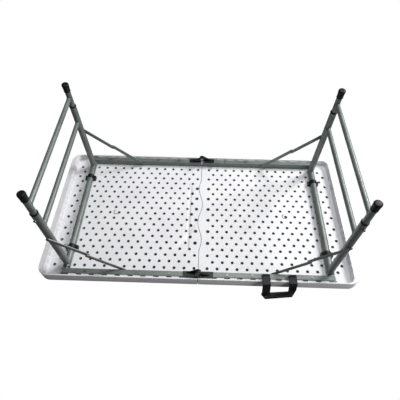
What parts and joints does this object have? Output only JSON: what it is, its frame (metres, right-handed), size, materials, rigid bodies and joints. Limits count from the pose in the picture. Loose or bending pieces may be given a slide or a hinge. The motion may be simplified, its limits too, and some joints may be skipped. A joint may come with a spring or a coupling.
{
  "type": "folding table",
  "caption": "Fold-in-half utility table lying on its use face: white moulded halves, steel rails, folding telescopic legs, braces and a carry handle.",
  "frame": {"origin": "centre of the tabletop's use face, in the plane that it lies on", "axes": "+X along the table to the half with the carry handle, +Y from the handle side to the other long side, +Z from the use face to the underside, the way the legs stand as the table lies upside down"},
  "size_m": [1.22, 0.662, 0.498],
  "materials": {
    "white_plastic": "satin",
    "black_plastic": "satin",
    "black_steel": "satin",
    "hammertone_steel": "satin",
    "zinc_steel": "satin"
  },
  "bodies": {
    "left_half": {"tabletop_left": "white_plastic", "rail_front_left": "hammertone_steel", "rail_back_left": "hammertone_steel", "hinge_leaf_front_left": "black_steel", "hinge_leaf_back_left": "black_steel", "rail_screws_left": "zinc_steel", "pivot_saddles_left": "black_plastic", "pivot_tabs_left": "zinc_steel", "brace_studs_left": "zinc_steel"},
    "left_leg": {"pivot_tube_left": "hammertone_steel", "pivot_pins_left": "zinc_steel", "leg_tube_left_front": "hammertone_steel", "leg_tube_left_back": "hammertone_steel", "leg_crossbar_left": "hammertone_steel", "leg_collars_left": "black_plastic", "brace_rivets_left": "zinc_steel"},
    "left_leg_extension": {"inner_tube_left_front": "hammertone_steel", "inner_tube_left_back": "hammertone_steel", "foot_crossbar_left": "hammertone_steel", "foot_cap_left_front": "black_plastic", "foot_cap_left_back": "black_plastic"},
    "left_upper_braces": {"brace_upper_left_front": "hammertone_steel", "brace_upper_left_back": "hammertone_steel"},
    "left_lower_braces": {"brace_lower_left_front": "hammertone_steel", "brace_lower_left_back": "hammertone_steel"},
    "left_front_lock": {"leg_lock_left_front": "zinc_steel"},
    "left_back_lock": {"leg_lock_left_back": "zinc_steel"},
    "right_half": {"tabletop_right": "white_plastic", "rail_front_right": "hammertone_steel", "rail_back_right": "hammertone_steel", "hinge_leaf_front_right": "black_steel", "hinge_leaf_back_right": "black_steel", "rail_screws_right": "zinc_steel", "pivot_saddles_right": "black_plastic", "pivot_tabs_right": "zinc_steel", "brace_studs_right": "zinc_steel", "handle_brackets": "zinc_steel", "handle_pins": "zinc_steel"},
    "right_leg": {"pivot_tube_right": "hammertone_steel", "pivot_pins_right": "zinc_steel", "leg_tube_right_front": "hammertone_steel", "leg_tube_right_back": "hammertone_steel", "leg_crossbar_right": "hammertone_steel", "leg_collars_right": "black_plastic", "brace_rivets_right": "zinc_steel"},
    "right_leg_extension": {"inner_tube_right_front": "hammertone_steel", "inner_tube_right_back": "hammertone_steel", "foot_crossbar_right": "hammertone_steel", "foot_cap_right_front": "black_plastic", "foot_cap_right_back": "black_plastic"},
    "right_upper_braces": {"brace_upper_right_front": "hammertone_steel", "brace_upper_right_back": "hammertone_steel"},
    "right_lower_braces": {"brace_lower_right_front": "hammertone_steel", "brace_lower_right_back": "hammertone_steel"},
    "right_front_lock": {"leg_lock_right_front": "zinc_steel"},
    "right_back_lock": {"leg_lock_right_back": "zinc_steel"},
    "hinge_pins": {"hinge_pins": "zinc_steel"},
    "handle": {"handle": "black_plastic"}
  },
  "joints": [
    {"name": "centre_fold_left", "type": "hinge", "parent": "left_half", "child": "hinge_pins", "pos_m": [0, 0, 0.068], "axis": [0, -1, 0], "range_deg": [0, 90]},
    {"name": "centre_fold_right", "type": "hinge", "parent": "hinge_pins", "child": "right_half", "pos_m": [0, 0, 0.068], "axis": [0, -1, 0], "range_deg": [0, 90]},
    {"name": "left_leg_fold", "type": "hinge", "parent": "left_half", "child": "left_leg", "pos_m": [-0.507, 0, 0.036], "axis": [0, 1, 0], "range_deg": [0, 90]},
    {"name": "left_leg_extension", "type": "slide", "parent": "left_leg", "child": "left_leg_extension", "axis": [0, 0, -1], "range_m": [-0.23, 0]},
    {"name": "left_upper_brace_fold", "type": "hinge", "parent": "left_leg", "child": "left_upper_braces", "pos_m": [-0.507, 0, 0.25], "axis": [0, 1, 0], "range_deg": [0, 46.18]},
    {"name": "left_lower_brace_fold", "type": "hinge", "parent": "left_half", "child": "left_lower_braces", "pos_m": [-0.284, 0, 0.036], "axis": [0, -1, 0], "range_deg": [0, 43.82]},
    {"name": "left_front_lock_press", "type": "slide", "parent": "left_leg", "child": "left_front_lock", "axis": [0, 1, 0], "range_m": [0, 0.003]},
    {"name": "left_back_lock_press", "type": "slide", "parent": "left_leg", "child": "left_back_lock", "axis": [0, -1, 0], "range_m": [0, 0.003]},
    {"name": "right_leg_fold", "type": "hinge", "parent": "right_half", "child": "right_leg", "pos_m": [0.507, 0, 0.036], "axis": [0, -1, 0], "range_deg": [0, 90]},
    {"name": "right_leg_extension", "type": "slide", "parent": "right_leg", "child": "right_leg_extension", "axis": [0, 0, -1], "range_m": [-0.23, 0]},
    {"name": "right_upper_brace_fold", "type": "hinge", "parent": "right_leg", "child": "right_upper_braces", "pos_m": [0.507, 0, 0.25], "axis": [0, -1, 0], "range_deg": [0, 46.18]},
    {"name": "right_lower_brace_fold", "type": "hinge", "parent": "right_half", "child": "right_lower_braces", "pos_m": [0.284, 0, 0.036], "axis": [0, 1, 0], "range_deg": [0, 43.82]},
    {"name": "right_front_lock_press", "type": "slide", "parent": "right_leg", "child": "right_front_lock", "axis": [0, 1, 0], "range_m": [0, 0.003]},
    {"name": "right_back_lock_press", "type": "slide", "parent": "right_leg", "child": "right_back_lock", "axis": [0, -1, 0], "range_m": [0, 0.003]},
    {"name": "handle_swing", "type": "hinge", "parent": "right_half", "child": "handle", "pos_m": [0.305, -0.282, 0.055], "axis": [1, 0, 0], "range_deg": [-80, 0]}
  ],
  "couplings": [
    {"joint": "left_upper_brace_fold", "follows": "left_leg_fold", "ratio": 0.51311},
    {"joint": "left_lower_brace_fold", "follows": "left_leg_fold", "ratio": 0.48689},
    {"joint": "right_upper_brace_fold", "follows": "right_leg_fold", "ratio": 0.51311},
    {"joint": "right_lower_brace_fold", "follows": "right_leg_fold", "ratio": 0.48689}
  ]
}
